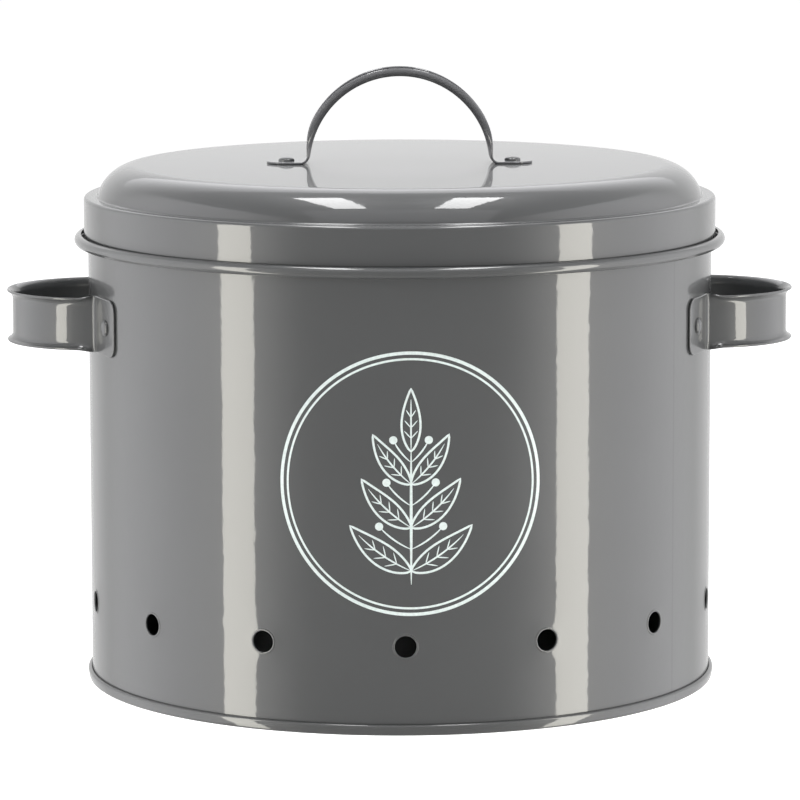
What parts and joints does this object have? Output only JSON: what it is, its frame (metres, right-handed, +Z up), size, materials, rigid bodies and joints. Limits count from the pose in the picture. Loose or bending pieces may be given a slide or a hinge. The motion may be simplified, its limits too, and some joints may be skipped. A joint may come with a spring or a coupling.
{
  "type": "potato storage bin",
  "caption": "Round sheet-steel kitchen storage bin with air vents near the base, riveted side strap handles and a slip-over lid with an arched handle.",
  "frame": {"origin": "centre of the base's resting plane, on the drum's axis", "axes": "+Z up along the drum's axis, +X towards the right-hand side handle seen from the front, -Y towards the front"},
  "size_m": [0.3032, 0.2504, 0.236],
  "materials": {
    "drum_paint": "gloss",
    "lid_paint": "gloss",
    "handle_paint": "gloss",
    "rivet_paint": "gloss",
    "print": "satin"
  },
  "bodies": {
    "drum": {"drum_wall": "drum_paint", "base_pan": "drum_paint", "side_handle_left": "handle_paint", "side_handle_right": "handle_paint", "rivet_left_front": "rivet_paint", "rivet_left_back": "rivet_paint", "rivet_right_front": "rivet_paint", "rivet_right_back": "rivet_paint"},
    "lid": {"lid_shell": "lid_paint", "lid_handle": "handle_paint", "lid_rivet_left": "rivet_paint", "lid_rivet_right": "rivet_paint"}
  },
  "joints": [
    {"name": "lid_lift", "type": "slide", "parent": "drum", "child": "lid", "axis": [0, 0, 1], "range_m": [0, 0.2]}
  ]
}
